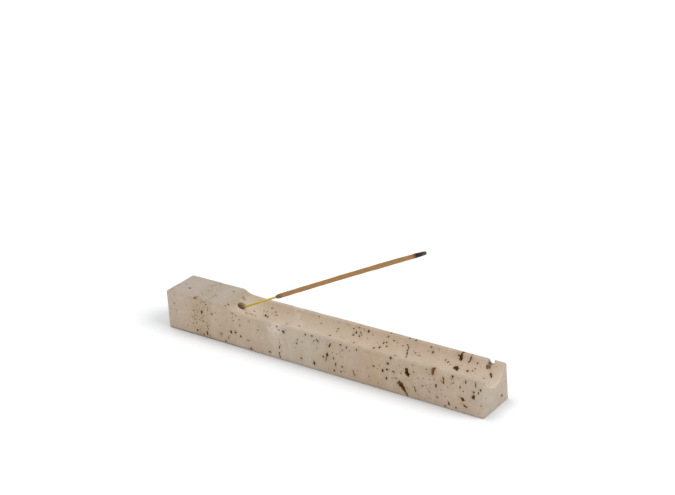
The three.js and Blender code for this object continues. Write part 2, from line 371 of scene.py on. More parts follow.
FRONT_VOIDS = (
    (-116.4, 25.8, 0.7, 0.7, 0.5), (-117.2, 19.7, 1.2, 0.9, 0.7), (-98, 27.6, 1.5, 0.9, 0.8),
    (-100.2, 18.3, 1.2, 1, 0.7), (-93.2, 18.5, 1.4, 2.5, 0.8, 10), (-93.6, 14.2, 1.2, 0.8, 0.6),
    (-99.1, 11.7, 0.7, 0.8, 0.5), (-92.3, 25.6, 0.8, 0.8, 0.5), (-88.6, 25.4, 1.3, 0.8, 0.6),
    (-98.9, 3.8, 1.6, 1.4, 0.8), (-90.2, 3.6, 1.2, 3.2, 0.8), (-88.9, 7.4, 0.9, 1.2, 0.6),
    (-93.2, 1.8, 1.5, 1, 0.7), (-83.9, 19.5, 1.1, 1.6, 0.8, 20), (-77.7, 12.4, 0.7, 0.8, 0.5),
    (-77.5, 6.5, 2.2, 1.5, 0.3), (-68.6, 10.1, 1.8, 2, 1), (-64.6, 10.4, 1.5, 1.4, 1),
    (-64.9, 11.9, 0.6, 1.2, 0.7, -15), (-71.4, 4.9, 0.8, 3, 0.35), (-74.1, 1.6, 2, 1, 0.6),
    (-66, 24, 1.6, 1.1, 0.35), (-62.6, 23.2, 1.3, 0.9, 0.4), (-66, 21.4, 1.1, 1, 0.35),
    (-65.5, 19, 1.3, 1, 0.35), (-60.2, 16.7, 0.9, 1.1, 0.95), (-60.5, 8.7, 1.6, 1.8, 0.85),
    (-60, 21, 1.2, 0.9, 0.55), (-52.5, 1.5, 1.7, 1.4, 0.95), (-51.5, 22, 0.7, 1.6, 0.3),
    (-45, 17.1, 1.1, 1.3, 0.45), (-54.3, 7.2, 3, 0.8, 0.3), (-36.5, 3.3, 1.9, 1.5, 0.7),
    (-28.6, 4.3, 1, 2, 0.6, 4), (-28.3, 2, 1.2, 1.4, 0.95), (-28, 9, 1.2, 2.5, 0.6),
    (-27.5, 12.6, 0.8, 0.8, 0.5), (-23.3, 21.2, 1.8, 2, 1), (-26.8, 21.8, 1.3, 0.9, 0.6),
    (-28.6, 23.7, 1.5, 0.8, 0.6), (-21.5, 23.4, 0.8, 0.8, 0.5), (-13.1, 15.5, 1.2, 1.4, 0.7),
    (-12.1, 18.5, 0.8, 2, 0.35), (-8.7, 17.6, 1.2, 0.9, 0.35), (-10.6, 5.4, 1.8, 1.2, 0.7),
    (-0.4, 4.7, 1.5, 2.6, 0.85, -8), (-5.4, 23.6, 1.2, 1.1, 0.75), (-0.2, 23.8, 1.3, 1, 0.95),
    (0.9, 20.6, 1, 0.8, 0.6), (3.9, 21.8, 2.3, 1, 0.7, 55), (3.2, 16.5, 0.9, 0.9, 0.3),
    (13.6, 20.8, 1.2, 3.8, 0.85, 28), (10.9, 13.5, 2, 2.8, 1, 12), (9.8, 10.4, 0.8, 3.4, 0.75, 20),
    (7.7, 11.5, 1.5, 1.3, 1), (15.7, 12.3, 1.2, 1.2, 0.8), (17, 8.3, 1.1, 2.4, 0.8),
    (15.5, 3.5, 1.5, 1.3, 0.95), (22.3, 23.3, 1.5, 1.1, 0.7), (23.4, 19.9, 1, 1, 0.7),
    (21.6, 18.3, 0.8, 0.8, 0.3), (26.6, 22.6, 0.9, 1.9, 0.7), (34.4, 23, 0.9, 1.5, 0.7),
    (29, 21, 0.9, 0.9, 0.3), (21.9, 7.8, 1.3, 1.3, 1), (20.8, 4.1, 1.1, 1.2, 0.8),
    (30.6, 6.6, 0.8, 1.5, 0.75), (30.9, 5.1, 0.8, 1.6, 0.75, -20), (31.7, 4.1, 1.3, 0.8, 0.7),
    (34.3, 8.5, 0.9, 0.9, 0.3), (46.6, 14.8, 1.7, 1.3, 0.7, 20), (57.8, 19.5, 1.6, 1.5, 1),
    (56.6, 15.1, 1.6, 1.3, 1), (53.3, 13.5, 1.5, 2, 1), (61.5, 14.9, 2.1, 1, 0.7, 25),
    (55.8, 8.9, 1.3, 2.2, 0.85), (59.9, 23.7, 1.7, 1.2, 0.95), (62.7, 10.7, 1.2, 1, 0.6),
    (64.1, 7.9, 1.8, 1, 0.6), (49.1, 3.3, 0.8, 1, 0.3), (71.8, 16.4, 3.6, 3, 1),
    (71.4, 18.6, 2.2, 3.2, 1), (67, 15.3, 1.2, 1, 0.6), (66, 19.7, 0.8, 0.8, 0.3),
    (65.4, 8.5, 2.8, 1.6, 1, -60), (66.7, 7.3, 3.4, 3.2, 1, -32, 0.2),
    (67.8, 5.6, 2.8, 3, 1, -32, 0.3), (68.9, 4, 1.9, 3.2, 0.85, -35, 0.3),
    (70.2, 1.9, 1.6, 3, 0.7, -38), (76.5, 18.8, 1.2, 0.8, 0.6),
    (76.5, 8, 0.8, 2, 0.7), (76.9, 6.1, 0.9, 2.2, 0.75, -8), (82.4, 10.8, 1.2, 0.9, 0.7),
    (85.2, 12, 0.8, 0.8, 0.3), (83.6, 16.3, 0.9, 0.8, 0.3), (85.9, 23.1, 1, 0.9, 0.6),
    (90.6, 23.7, 2.2, 2.4, 1, 8, 0.2), (90.3, 21.4, 2.1, 2.9, 0.8, 0, 1),
    (92.2, 13.6, 1.3, 2.4, 0.8, 8), (92.6, 5.7, 1, 1.3, 0.7), (97.8, 19.8, 1.2, 2.8, 0.65, 0, 0.5),
    (97.6, 17.4, 1.2, 2.2, 0.6, 8, 0.5), (100.6, 3.8, 1.2, 2.4, 0.85, -18),
    (98, 1.4, 1.5, 1.1, 0.8), (105.5, 2.3, 1.4, 1.1, 0.8), (104.4, 23.1, 1.4, 1.5, 1),
    (103.6, 21.2, 1, 0.9, 0.7), (104.6, 18.8, 1.2, 1, 0.8), (109.3, 17.4, 1.2, 1.9, 0.35),
    (113.5, 21.9, 1.1, 2, 0.75), (110.7, 9.2, 2.2, 2.4, 1, -35), (111.7, 5.5, 1.2, 1.5, 0.95, -30),
    (112.9, 4.8, 1.2, 1.3, 0.95, 30), (118.7, 16.4, 1.3, 1.4, 1), (118.6, 13.6, 1.6, 2.4, 0.9),
    (118, 12.2, 2.2, 1.4, 0.9, 30), (122, 16.7, 1, 1.4, 0.8), (123.4, 19.1, 1.3, 1.3, 1),
    (120.2, 21.9, 0.9, 3.2, 0.5), (123.4, 8.6, 0.9, 0.9, 0.7), (115.6, 9.5, 0.9, 0.9, 0.3),
    (-89.5, 26.6, 0.8, 0.8, 0.5), (-91.5, 27.2, 0.9, 0.8, 0.4),
)

# On the back wall the first place is X, the second the distance below the rim's inner edge
WALL_VOIDS = (
    (-53.3, 10, 1.8, 1.4, 1), (-51.4, 10.4, 1.4, 0.9, 0.9, 60), (-51.3, 3.6, 1.2, 1, 0.4),
    (-49.7, 7.1, 1, 0.9, 0.4), (-47.6, 5.4, 1.5, 1, 0.3), (-45.6, 7, 1.2, 0.9, 0.55),
    (-47, 7.4, 0.9, 0.9, 0.35), (-53.9, 6.9, 0.9, 0.8, 0.3), (-56.3, 7.4, 1, 0.9, 0.3),
    (-34.5, 11.5, 1, 1, 0.5), (-25, 10.4, 1.6, 0.8, 0.4, 50), (-28.7, 0.6, 0.8, 0.7, 0.5),
    (-13, 0.7, 1.1, 1, 0.5), (-10.2, 4.6, 1, 0.8, 0.55), (0.5, 11.1, 1.3, 1.1, 0.75),
    (3.6, 5.2, 1.2, 0.9, 0.5), (3.4, 6.8, 1.1, 0.8, 0.45), (14.9, 2.3, 1.2, 0.8, 0.8),
    (17.5, 4.4, 1.3, 1.5, 1), (19, 0.9, 1, 0.9, 0.8), (20.7, 3.6, 1, 0.9, 1),
    (20.7, 6, 1.1, 1.3, 0.7), (16, 6.4, 1.6, 1, 0.6), (22, 4.9, 1, 1, 0.35),
    (26.3, 1.6, 1.3, 1.7, 0.8), (23.2, 2, 0.8, 0.8, 0.35), (30, 3, 0.6, 1.6, 0.3),
    (27, 6, 0.8, 0.8, 0.35), (19.5, 11.6, 1, 1, 0.9), (35, 11.4, 1.2, 1.5, 0.8),
    (38.3, 9.9, 1.4, 1.3, 1), (39.4, 6.2, 1, 1.5, 0.8), (41.3, 5.5, 1.1, 1, 0.8),
    (42.6, 7.9, 1.2, 1, 0.8), (41.5, 1.6, 1.2, 1, 1), (46.2, 3.1, 1.4, 0.8, 0.55),
    (48.9, 3.7, 1, 0.7, 0.35), (53.5, 4.7, 1.2, 0.9, 0.4), (56.5, 3.4, 1.2, 1.1, 0.7),
    (57.7, 4.9, 0.8, 2, 0.7, -15), (57.7, 6.7, 1, 1.4, 0.65), (58.5, 9, 1, 2.4, 0.65, -20),
    (59.2, 11.2, 0.8, 1.8, 0.5, -20), (63.8, 6.8, 0.9, 0.8, 0.65), (66.1, 6.2, 0.8, 0.7, 0.35),
    (67.4, 7.9, 0.8, 1, 0.5), (73.4, 0.9, 1.2, 1, 0.75), (75.2, 3.7, 1.1, 1.5, 0.95),
    (79.2, 1.2, 1.4, 0.6, 0.3, 70), (85.4, 6.3, 1.5, 0.7, 0.7, -75), (87.6, 7.1, 1.5, 0.9, 0.85, -65),
    (89.6, 8.4, 1.6, 0.6, 0.45, -55), (94.9, 2.3, 2.5, 3.2, 1), (93.3, 1.3, 1.2, 1.3, 0.9),
    (95.4, 0.4, 1.5, 1.6, 1), (94.5, 9.2, 2.8, 2.5, 1, -30), (95.7, 10.3, 2.3, 1.9, 1, -30),
    (101.8, 1.7, 0.9, 3.2, 0.85), (101.1, 3.6, 0.9, 1.7, 0.85, 50), (107, 3.1, 1, 1, 0.95),
    (106.6, 6.7, 0.9, 0.8, 0.7), (105.7, 8.4, 1, 0.9, 0.75), (102.5, 9.3, 1.5, 1.2, 0.95),
    (115.6, 3.2, 1.1, 2.6, 0.95, 0, 0.3), (114, 3.6, 2.6, 2.4, 0.32, 0, 0.5),
    (117.8, 7.4, 1.1, 1.9, 1, -40), (118.8, 8.7, 1, 1.8, 1, -40), (115.3, 11.4, 1, 1, 0.7),
)

# On the head's top and the rims the places are X and Y
TOP_VOIDS = (
    (-80.4, 5.8, 1.3, 1.2, 0.8), (-117.3, -0.6, 0.9, 0.9, 0.6), (-111, -3.9, 2.4, 1.5, 0.3),
    (-120.7, -10.6, 0.8, 2.2, 0.55, 20), (-98.6, -12.6, 1.2, 1, 0.7), (-120.9, -4.6, 0.8, 1.3, 0.4),
    (-88.9, -12.2, 0.9, 0.9, 0.4), (-87.8, -10, 0.8, 1.2, 0.4), (-88.6, -6.2, 0.9, 1, 0.35),
    (-86.6, -4.9, 0.8, 0.8, 0.3), (-72.6, 6, 1, 1.2, 0.6), (-73.9, -7.9, 1.5, 1.1, 0.6),
    (-74.3, -10.6, 1.1, 1.1, 0.5), (56.7, 11.9, 1.1, 1.3, 0.9), (61.6, 11.9, 1.1, 1.5, 0.9),
    (42.6, 12.2, 0.9, 1.6, 0.6, -20), (95.7, 12.2, 1.4, 2.2, 1), (101.9, 12.6, 0.7, 2.4, 0.7),
)

# On the hollow below the socket, X and Y again
HOLLOW_VOIDS = (
    (-64, -2.5, 1.3, 1.2, 0.45), (-62.9, -2, 0.9, 0.8, 0.35), (-61.7, -0.4, 1.2, 1, 0.4),
    (-60.6, -0.3, 1, 1.3, 0.35), (-61.5, 3.2, 1.3, 0.8, 0.35), (-58.4, 0.2, 1.1, 1.3, 0.4),
    (-63.2, 0.6, 0.8, 0.8, 0.3), (-62.3, 3.3, 0.9, 0.8, 0.25),
)

# On the end faces the places are Y and Z
RIGHT_VOIDS = ((6.6, 5.5, 1.8, 1.9, 0.5), (-11.8, 22.8, 0.8, 0.9, 0.7), (11.2, 12.8, 0.6, 0.6, 0.5))

# The void that has broken out through the back rim, as lobes: X, Y, Z of the middle, then sizes
NOTCH_LOBES = (
    ((115.4, 12.8, 24.3), (2.9, 8.6, 6.4), 0.6),
    ((114.6, 12, 25.4), (2.7, 7, 4.6), 0.6),
    ((114.9, 11.3, 22.3), (2.4, 3.4, 4.4), 0.2),
)


class Blob:
    """One closed, rough-walled cutter."""

    def __init__(self, points, faces, dark, rust):
        self.points = points
        self.faces = faces
        self.dark = dark
        self.rust = rust
        self.middle = (points.max(0) + points.min(0)) / 2
        self.reach = np.linalg.norm(points - self.middle, axis=1).max()


def unit_sphere(detail):
    ball = bmesh.new()
    bmesh.ops.create_icosphere(ball, subdivisions=detail, radius=1)
    points = np.array([v.co[:] for v in ball.verts])
    faces = np.array([[v.index for v in f.verts] for f in ball.faces])
    ball.free()
    return points, faces


# Detail of a void's sphere by the void's size: the first row that is large enough counts
SPHERES = {detail: unit_sphere(detail) for detail in (1, 2, 3, 4)}
VOID_DETAIL = ((0.66, 1), (1.35, 2), (2.4, 3), (FAR, 4))
DEEPEST_VOID = 3.2
SINK = 0.22
SHALLOWEST = 0.25
DARK_DEEPENS = 0.95
DEPTH_SHARE = 0.85
VOID_WIDENING = 1.15
seeds = random.Random(4417)


def rough_ball(detail, roughness):
    """A unit ball with an irregular, star-shaped outline."""
    points, faces = SPHERES[detail]
    seed = seeds.uniform(0, 50)
    swell = noise_at(points, 1.05, seed) * 0.42 + noise_at(points, 2.3, seed + 9) * 0.3
    swell += noise_at(points, 5.0, seed + 17) * 0.14
    return points * (1 + roughness * swell)[:, None], faces


def void_blob(place, width, height, dark, lean=0.0, rust=0.0, deepest=DEEPEST_VOID):
    """A void that opens on a face at that place."""
    at, along, up, out = (np.array(v, float) for v in place)
    size = max(width, height)
    detail = next(detail for limit, detail in VOID_DETAIL if size < limit)
    ball, faces = rough_ball(detail, 1.0)
    if np.dot(np.cross(along, up), out) < 0:
        faces = faces[:, ::-1]
    turn = math.radians(lean)
    side = along * math.cos(turn) - up * math.sin(turn)
    rise = along * math.sin(turn) + up * math.cos(turn)
    depth = (SHALLOWEST + DARK_DEEPENS * dark) * math.sqrt(width * height) * DEPTH_SHARE
    depth = min(depth, deepest)
    middle = at - out * depth * SINK
    axes = [side * width / 2 * VOID_WIDENING, rise * height / 2 * VOID_WIDENING, out * depth]
    return Blob(middle + ball @ np.array(axes), faces, dark, rust)


def face_voids(rows, face, deepest=DEEPEST_VOID):
    return [void_blob(face(*row[:2]), *row[2:], deepest=deepest) for row in rows]


def notch_blobs():
    lobes = []
    for middle, size, turn in NOTCH_LOBES:
        ball, faces = rough_ball(4, 0.6)
        c, s = math.cos(turn), math.sin(turn)
        axes = np.array([[c, s, 0], [-s, c, 0], [0, 0, 1]]) * (np.array(size) / 2)[:, None]
        lobes.append(Blob(np.array(middle) + ball @ axes, faces, 0.22, 0.3))
    return lobes


# Seeded pores: how many, smallest and largest size, height over width, darkness, and the stretch
# of the bar that they keep to. The right half of the bar is the more open stone.
PORE_LAYERS = (
    # face, second coordinate from, to, rows of (count, small, large, stretch, dark, from X, to X)
    (front_face, 1.5, 23.5, (
        (150, 0.35, 0.75, 1.3, 0.6, -122, 123), (90, 0.35, 0.9, 1.5, 0.6, -103, -87),
        (60, 0.35, 0.8, 1.3, 0.7, 60, 123))),
    (back_face, 1.5, 23, (
        (110, 0.35, 0.8, 1.4, 0.6, -122, 123), (50, 0.4, 0.9, 1.5, 0.6, -103, -87),
        (50, 0.8, 1.7, 1.3, 0.85, -118, 121), (20, 1.4, 2.6, 1.2, 1, 0, 119),
        (8, 1.2, 2.2, 1.6, 0.8, -115, 0))),
    (under_face, -12.5, 12.5, (
        (60, 0.4, 0.9, 1.4, 0.6, -122, 122), (40, 0.8, 1.8, 1.4, 0.85, -118, 120),
        (18, 1.5, 2.8, 1.3, 1, 0, 118))),
    (top_face, -12.5, 12.5, (
        (26, 0.35, 0.7, 1.2, 0.5, -122, -80), (34, 0.4, 0.9, 1.5, 0.6, -101, -88))),
    (groove_face, -RIM_ANGLE, RIM_ANGLE, (
        (110, 0.35, 0.75, 1.2, 0.6, -45, 123), (40, 0.35, 0.8, 1.2, 0.6, 60, 122))),
    (groove_face, -RIM_ANGLE, 0.15, (
        (30, 0.8, 1.6, 1.2, 0.85, -40, 120), (8, 1.5, 2.4, 1.2, 1, 10, 118))),
)
END_PORES = ((left_end, 26, 22, 0.35, 1.1), (right_end, 13.5, 10, 0.35, 0.7))
CLUSTER_PULL = 0.45


def seeded_pores():
    """The small pores, drawn in clusters that follow the stone's bedding, which runs up and across."""
    pores = []
    for face, low, high, rows in PORE_LAYERS:
        for count, small, large, stretch, dark, from_x, to_x in rows:
            hubs = [seeds.uniform(from_x, to_x) for _ in range(max(count // 8, 1))]
            for _ in range(count):
                x = seeds.uniform(from_x, to_x)
                if seeds.random() < CLUSTER_PULL:
                    x = min(max(seeds.choice(hubs) + seeds.gauss(0, 1.6), from_x), to_x)
                width = small + (large - small) * seeds.random() ** 2
                height = width * seeds.uniform(0.8, stretch * 1.15)
                place = face(x, seeds.uniform(low, high))
                tone = dark * seeds.uniform(0.7, 1)
                pores.append(void_blob(place, width, height, tone, seeds.gauss(0, 14), deepest=1.6))
    for face, top, count, small, large in END_PORES:
        for _ in range(count):
            width = seeds.uniform(small, large)
            place = face(seeds.uniform(-12.5, 12.5), seeds.uniform(1.5, top))
            pores.append(void_blob(place, width, width * seeds.uniform(0.8, 1.3), 0.6, seeds.gauss(0, 20)))
    return pores


def socket_blob():
    """The drilled socket's cutter, as a blob of its own."""
    sides, rings = 40, 26
    points = []
    for ring in range(rings):
        along = -SOCKET_DEPTH + ring * (2 * SOCKET_DEPTH) / (rings - 1)
        for k in range(sides):
            angle = 2 * math.pi * k / sides
            points.append((SOCKET_RADIUS * math.cos(angle), SOCKET_RADIUS * math.sin(angle), along))
    points = np.array(points + [(0, 0, -SOCKET_DEPTH - SOCKET_POINT), (0, 0, SOCKET_DEPTH)])
    quads, caps = tube_faces(rings, sides)
    faces = [half for a, b, c, d in quads for half in ((a, b, c), (a, c, d))] + caps
    inside = np.abs(points[:, 2]) < SOCKET_DEPTH
    rough = 1 + SOCKET_ROUGHNESS * noise_at(points, 0.9, 5)
    rough += SOCKET_FLARE / SOCKET_RADIUS * np.exp(np.clip(points[:, 2], None, 1) / FLARE_DEPTH)
    points[:, :2] *= np.where(inside, rough, 1)[:, None]
    c, s = math.cos(SOCKET_TILT), math.sin(SOCKET_TILT)
    turn = np.array([[s, 0, -c], [0, 1, 0], [c, 0, s]])
    return Blob(SOCKET_MOUTH + points @ turn, np.array(faces), SOCKET_SHADE, 0.0)


def separate_batches(blobs):
    """Groups of blobs in which no two can touch, so that each group is one clean solid."""
    batches = []
    for number, blob in enumerate(blobs, 1):
        for batch in batches:
            if all(np.linalg.norm(blob.middle - o.middle) > blob.reach + o.reach for _, o in batch):
                batch.append((number, blob))
                break
        else:
            batches.append([(number, blob)])
    return batches


def cut(piece, batch):
    """Subtracts a batch from the piece. Faces that it leaves keep their blob's number in void_id."""
    points = []
    faces = []
    numbers = []
    base = 0
    for number, blob in batch:
        points.append(blob.points)
        faces.append(blob.faces + base)
        numbers += [number] * len(blob.faces)
        base += len(blob.points)
    cutter = make_object("cutter", np.concatenate(points), np.concatenate(faces).tolist())
    layer = cutter.data.attributes.new("void_id", "INT", "FACE")
    layer.data.foreach_set("value", numbers)
    modifier = piece.modifiers.new("cut", "BOOLEAN")
    modifier.solver = "MANIFOLD"
    modifier.operation = "DIFFERENCE"
    modifier.object = cutter
    ready = piece.evaluated_get(bpy.context.evaluated_depsgraph_get())
    mesh = bpy.data.meshes.new_from_object(ready)
    piece.modifiers.clear()
    old = piece.data
    piece.data = mesh
    bpy.data.meshes.remove(old)
    spent = cutter.data
    bpy.data.objects.remove(cutter)
    bpy.data.meshes.remove(spent)


def keep_largest_part(piece):
    """Drops crumbs of stone that crossing voids have cut loose."""
    edit = bmesh.new()
    edit.from_mesh(piece.data)
    bmesh.ops.triangulate(edit, faces=[f for f in edit.faces if len(f.verts) > 4])
    left = set(edit.verts)
    parts = []
    while left:
        stack = [left.pop()]
        part = set(stack)
        while stack:
            near = {v for e in stack.pop().link_edges for v in e.verts} - part
            part |= near
            stack += near
        left -= part
        parts.append(part)
    parts.sort(key=len)
    crumbs = [v for part in parts[:-1] for v in part]
    bmesh.ops.delete(edit, geom=crumbs, context="VERTS")
    edit.to_mesh(piece.data)
    edit.free()
    piece.data.validate()


def face_gaps(points):
    """How far each point lies below each of the bar's outer faces and the groove, in millimetres."""
    x, y, z = points.T
    floor = groove_floor(x)
    groove = np.hypot(y, z - floor - GROOVE_RADIUS) - GROOVE_RADIUS
    groove = np.where(x < BEVEL_END - 2, FAR, groove)
    return np.array([y - FRONT, BACK - y, z, rim_top(x) - z, groove, x - LEFT, RIGHT - x])


def depth_inside(points):
    return np.clip(np.min(face_gaps(points), axis=0), 0, None)


def face_corners(mesh):
    """The vertex of each face's corners, and how many corners each face has."""
    vertices = np.zeros(len(mesh.loops), np.int32)
    mesh.loops.foreach_get("vertex_index", vertices)
    counts = np.zeros(len(mesh.polygons), np.int32)
    mesh.polygons.foreach_get("loop_total", counts)
    return vertices, counts


def face_numbers(mesh):
    numbers = np.zeros(len(mesh.polygons), np.int32)
    mesh.attributes["void_id"].data.foreach_get("value", numbers)
    return numbers


# The stained halo round a dark void
HALO_WIDTH = 0.55
HALO_OVERLAP = 0.3
HALO_LEAST_DARK = 0.5
HALO_LARGEST_VOID = 8


def mark_voids(piece, blobs):
    """Point attributes that the stone's material reads: depth, darkness and rust inside voids,
    a halo on the stone round the dark ones, and masks for painted light and a painted sheen."""
    mesh = piece.data
    points = mesh_points(mesh)
    corner_vertex, counts = face_corners(mesh)
    corner_number = np.repeat(face_numbers(mesh), counts)
    vertex_number = np.zeros(len(points), np.int32)
    vertex_number[corner_vertex[corner_number > 0]] = corner_number[corner_number > 0]
    dark = np.array([0] + [b.dark for b in blobs])
    rust = np.array([0] + [b.rust for b in blobs])
    depth = np.where(vertex_number > 0, depth_inside(points), 0)
    halo = np.zeros(len(points))
    stain = np.zeros(len(points))
    for blob in blobs:
        if blob.reach > HALO_LARGEST_VOID or blob.dark < HALO_LEAST_DARK:
            continue
        gap = np.linalg.norm(points - blob.middle, axis=1) - blob.reach
        near = np.exp(-np.clip(gap + HALO_OVERLAP, 0, None) / HALO_WIDTH) * blob.dark
        halo = np.maximum(halo, near)
        stain = np.maximum(stain, near * blob.rust)
    x, y, z = points.T
    # Painted light: masks that lighten the groove's surface, the rim tops and the deep part of the socket in
    # colour
    off_groove = np.abs(rim_top(x) - groove_drop(x, y) - z)
    groove_light = np.clip((x - BEVEL_END) / 8, 0, 1) * (off_groove < 0.6) * (np.abs(y) < GROOVE_HALF + 0.2)
    rim_highlight = 0.25 * np.clip((z - rim_top(x) + 0.7) / 0.7, 0, 1) * np.clip((x - BEVEL_END) / 12, 0, 1)
    in_socket = 2.0 * (vertex_number == 1) * (depth > 0.6)
    for name, values in (
        ("void_depth", depth),
        ("void_dark", dark[vertex_number]),
        ("void_rust", rust[vertex_number]),
        ("painted_light", np.maximum(np.maximum(groove_light, rim_highlight), in_socket)),
        # painted sheen: the head's top greyed in colour as a painted reflection of the white sky
        ("top_sheen", np.clip(z - HEAD_TOP + 1, 0, 1)),
        ("halo", halo),
        ("stain", stain),
    ):
        point_attribute(mesh, name, values)


# The bar's texture map: one strip along it for each long face and the groove, in the order that
# face_gaps has them, and a last strip for the two ends and the socket
STRIP_GAP = 1.5
STRIP_HEIGHTS = (HEAD_TOP, HEAD_TOP, BACK - FRONT, BACK - FRONT, 2 * GROOVE_RADIUS * RIM_ANGLE, HEAD_TOP)
LEFT_FACE, RIGHT_FACE = 5, 6
END_STEP = BACK - FRONT + STRIP_GAP


def strip_base(number):
    return STRIP_GAP + sum(height + STRIP_GAP for height in STRIP_HEIGHTS[:number])


def socket_places(points):
    """Distance along the socket from its mouth, and angle round it."""
    c, s = math.cos(SOCKET_TILT), math.sin(SOCKET_TILT)
    from_mouth = points - SOCKET_MOUTH
    along = -from_mouth @ np.array([c, 0, s])
    across = from_mouth @ np.array([s, 0, -c])
    return along, np.arctan2(from_mouth[:, 1], across)


def bake_map(piece):
    """A texture map in which no two faces of the stone share a place."""
    mesh = piece.data
    points = mesh_points(mesh)
    corner_vertex, counts = face_corners(mesh)
    middles = np.zeros(len(mesh.polygons) * 3)
    mesh.polygons.foreach_get("center", middles)
    middles = middles.reshape(-1, 3) / MM
    corner = points[corner_vertex]
    x, y, z = corner.T
    face = np.repeat(np.argmin(face_gaps(middles), axis=0), counts)
    groove_angle = np.arctan2(y, groove_floor(x) + GROOVE_RADIUS - z)
    groove_angle = np.clip(groove_angle, -RIM_ANGLE, RIM_ANGLE)
    heights = (z, z, y - FRONT, y - FRONT, GROOVE_RADIUS * (groove_angle + RIM_ANGLE), z, z)
    u = np.where(face < LEFT_FACE, x - LEFT, y - FRONT + END_STEP * (face == RIGHT_FACE))
    v = np.zeros(len(corner))
    for number, height in enumerate(heights):
        v = np.where(face == number, strip_base(min(number, LEFT_FACE)) + height, v)
    in_socket = np.repeat(face_numbers(mesh) == 1, counts)
    along, angle = socket_places(corner)
    middle_angle = np.repeat(socket_places(middles)[1], counts)
    angle = middle_angle + (angle - middle_angle + math.pi) % (2 * math.pi) - math.pi
    u = np.where(in_socket, 2 * END_STEP + 2 + along, u)
    v = np.where(in_socket, strip_base(LEFT_FACE) + SOCKET_RADIUS * (angle + math.pi + 0.3), v)
    width = RIGHT - LEFT + 2 * STRIP_GAP
    layer = mesh.uv_layers.new(name="OFBake")
    places = np.stack([(u + STRIP_GAP) / width, v / strip_base(len(STRIP_HEIGHTS))], axis=1)
    layer.data.foreach_set("uv", places.astype(np.float32).ravel())


def build_bar():
    bar = bar_mesh()
    blobs = [socket_blob()] + notch_blobs()
    blobs += face_voids(FRONT_VOIDS, front_face) + face_voids(WALL_VOIDS, back_wall, 1.9)
    blobs += face_voids(TOP_VOIDS, top_face, 2.0) + face_voids(HOLLOW_VOIDS, hollow_face, 1.5)
    blobs += face_voids(RIGHT_VOIDS, right_end)
    blobs += seeded_pores()
    for batch in separate_batches(blobs):
        cut(bar, batch)
    keep_largest_part(bar)
    mark_voids(bar, blobs)
    bake_map(bar)
    shade_smooth(bar.data)
    bar.data.set_sharp_from_angle(angle=SHARP_ANGLE)
    return bar


# --- the stick

stick_axis = np.array(frame["joints"][0]["axis"], float)
stick_axis /= np.linalg.norm(stick_axis)
stick_down = np.array([stick_axis[2], 0, -stick_axis[0]])
stick_foot = STICK_MOUTH - STICK_INSERTION * stick_axis


def stick_point(across, side, along):
    """From the stick's own directions to the row frame, with its sag."""
    across = across + along**2 / (2 * STICK_SAG_RADIUS)
    return (stick_foot + np.multiply.outer(along, stick_axis) + np.multiply.outer(across, stick_down)
            + np.multiply.outer(side, np.array([0.0, 1.0, 0.0])))


def stick_sweep(name, start, end, rings, sides, radius_at, cup=0.0):
    """A closed round piece along the stick. radius_at(angle, along) gives its radius, and cup
    hollows its ends."""
    along = np.linspace(start, end, rings)
    angle = np.linspace(0, 2 * math.pi, sides, endpoint=False)
    grid_along, grid_angle = np.meshgrid(along, angle, indexing="ij")
    radius = radius_at(grid_angle, grid_along)
    rows = stick_point(radius * np.cos(grid_angle), radius * np.sin(grid_angle), grid_along)
    quads, caps = tube_faces(rings, sides)
    zero = np.array([0.0])
    ends = [stick_point(zero, zero, np.array([place])) for place in (start + cup, end - cup)]
    piece = make_object(name, np.concatenate([rows.reshape(-1, 3)] + ends), quads + caps)
    point_attribute(piece.data, "along", np.append(grid_along, [start, end]))
    point_attribute(piece.data, "around", np.append(grid_angle * COAT_RADIUS, [0, 0]))
    return piece


def swirl_noise(angle, along, scale_along, lobes, seed):
    """Noise that wraps round the stick."""
    flat = [
        noise.noise(Vector((math.cos(a) * lobes + seed, math.sin(a) * lobes - seed, s * scale_along)))
        for a, s in zip(angle.ravel(), along.ravel())
    ]
    return np.array(flat).reshape(angle.shape)


def build_core():
    def radius(angle, along):
        square = 1 + 0.07 * np.cos(4 * angle + 0.5)
        fibres = 0.035 * swirl_noise(angle, along, 0.05, 4, 3)
        knots = 0.03 * swirl_noise(angle, along, 0.35, 0.6, 8)
        return CORE_RADIUS * (square + fibres + knots) * 0.97

    return stick_sweep("split_bamboo_core", 0, TIP_START + CORE_TUCK, 220, 20, radius)


def build_coat():
    def radius(angle, along):
        share = np.clip((along - BARE_LENGTH) / 3.6, 0, 1)
        taper = 0.62 + 0.38 * np.sqrt(1 - (1 - share) ** 2)
        swell = 0.1 * swirl_noise(angle * 0, along, 0.04, 0, 21)
        lumps = 0.06 * swirl_noise(angle, along, 0.16, 0.7, 11)
        grain = 0.028 * swirl_noise(angle, along, 1.1, 2.6, 12) + 0.02 * swirl_noise(angle, along, 2.6, 5, 13)
        return COAT_RADIUS * (taper + swell + lumps + grain) * 0.985

    return stick_sweep("rolled_incense_coat", BARE_LENGTH, TIP_START, 420, 30, radius)


def build_tip():
    def radius(angle, along):
        share = (along - TIP_START) / TIP_LENGTH
        round_end = np.sqrt(1 - ((share - 0.94) / 0.06).clip(0, 1) ** 2 * 0.35)
        shrink = 1 - 0.24 * share
        lumps = 0.1 * swirl_noise(angle, along, 0.55, 0.9, 31)
        crumbs = 0.09 * swirl_noise(angle, along, 1.6, 2.2, 32)
        crumbs += 0.05 * swirl_noise(angle, along, 3.4, 4.5, 33)
        return TIP_RADIUS * (shrink * round_end + lumps * (1 - share * 0.3) + crumbs)

    end = TIP_START + TIP_LENGTH
    return stick_sweep("charred_end", TIP_START, end, 60, 32, radius, cup=-0.25)


# --- materials

